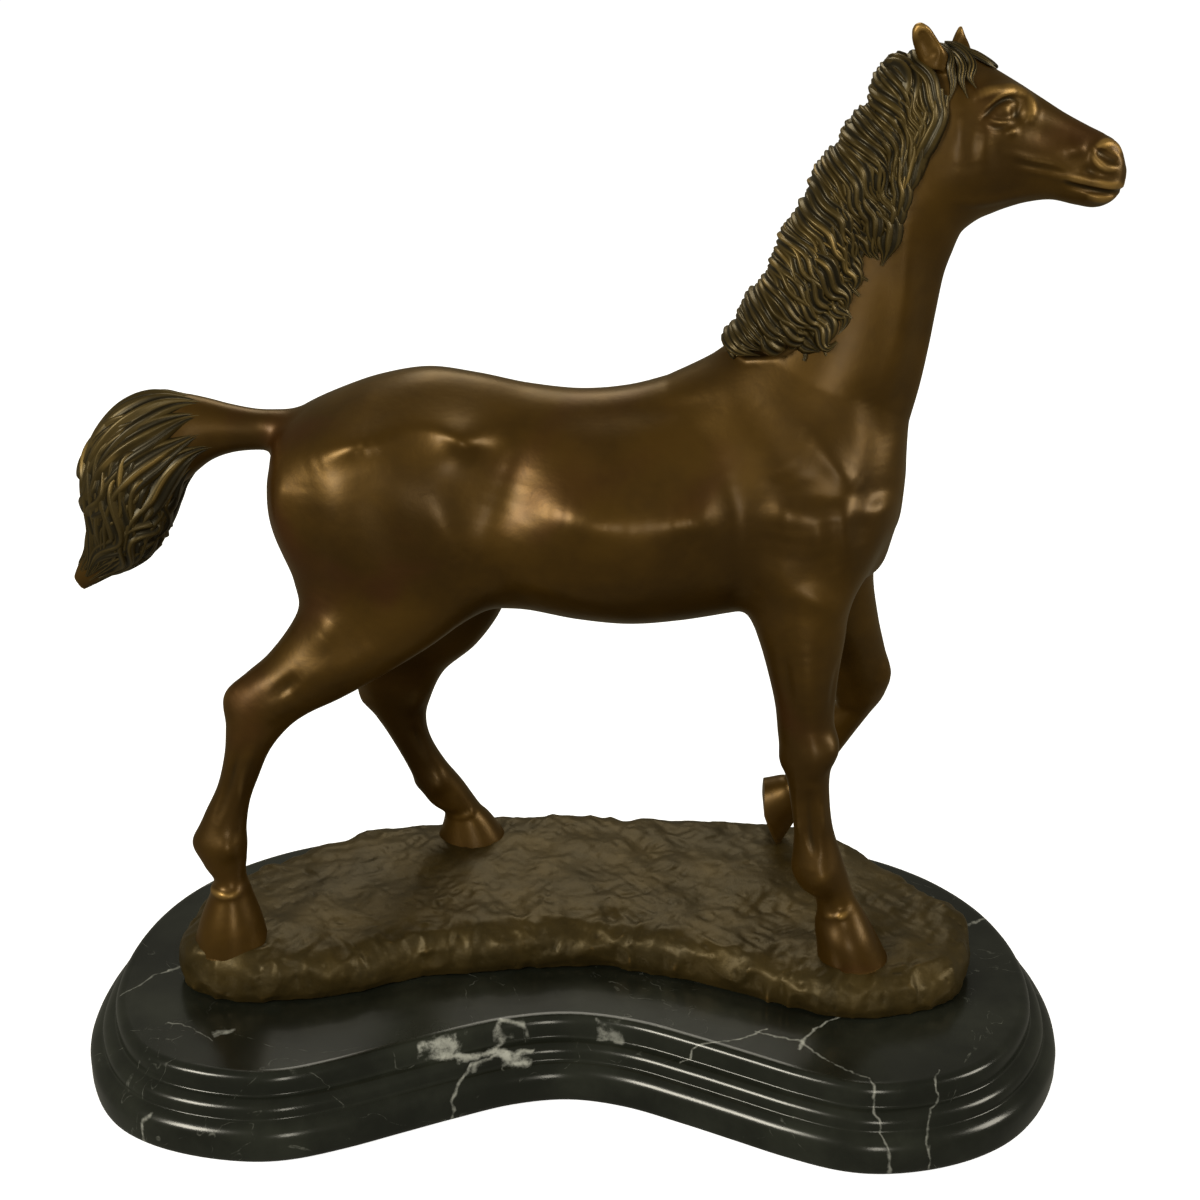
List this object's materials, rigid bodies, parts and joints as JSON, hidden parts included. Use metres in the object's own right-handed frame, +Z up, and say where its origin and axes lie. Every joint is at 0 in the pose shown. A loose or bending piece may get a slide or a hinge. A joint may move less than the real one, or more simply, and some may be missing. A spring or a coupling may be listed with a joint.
{
  "type": "bronze statuette",
  "caption": "Bronze statuette of a walking young horse on a cast ground, bolted to a stepped black marble base with felt pads.",
  "frame": {"origin": "centre of the overall box at the table surface, under the felt pads", "axes": "+X towards the horse's head, +Y away from the near side, +Z up"},
  "size_m": [0.3225, 0.1752, 0.3329],
  "materials": {
    "horse_bronze": "polished",
    "ground_bronze": "satin",
    "black_marble": "polished",
    "zinc_steel": "satin",
    "dark_felt": "matte"
  },
  "bodies": {
    "root": {"torso_casting": "horse_bronze", "neck_and_head_casting": "horse_bronze", "tail_casting": "horse_bronze", "near_fore_leg_casting": "horse_bronze", "off_fore_leg_casting": "horse_bronze", "near_hind_leg_casting": "horse_bronze", "off_hind_leg_casting": "horse_bronze", "ground_casting": "ground_bronze", "marble_base": "black_marble", "left_base_stud": "zinc_steel", "middle_base_stud": "zinc_steel", "right_base_stud": "zinc_steel", "left_base_washer": "zinc_steel", "middle_base_washer": "zinc_steel", "right_base_washer": "zinc_steel", "left_base_nut": "zinc_steel", "middle_base_nut": "zinc_steel", "right_base_nut": "zinc_steel", "front_left_felt_pad": "dark_felt", "front_right_felt_pad": "dark_felt", "back_left_felt_pad": "dark_felt", "back_right_felt_pad": "dark_felt", "front_middle_felt_pad": "dark_felt"}
  },
  "joints": []
}
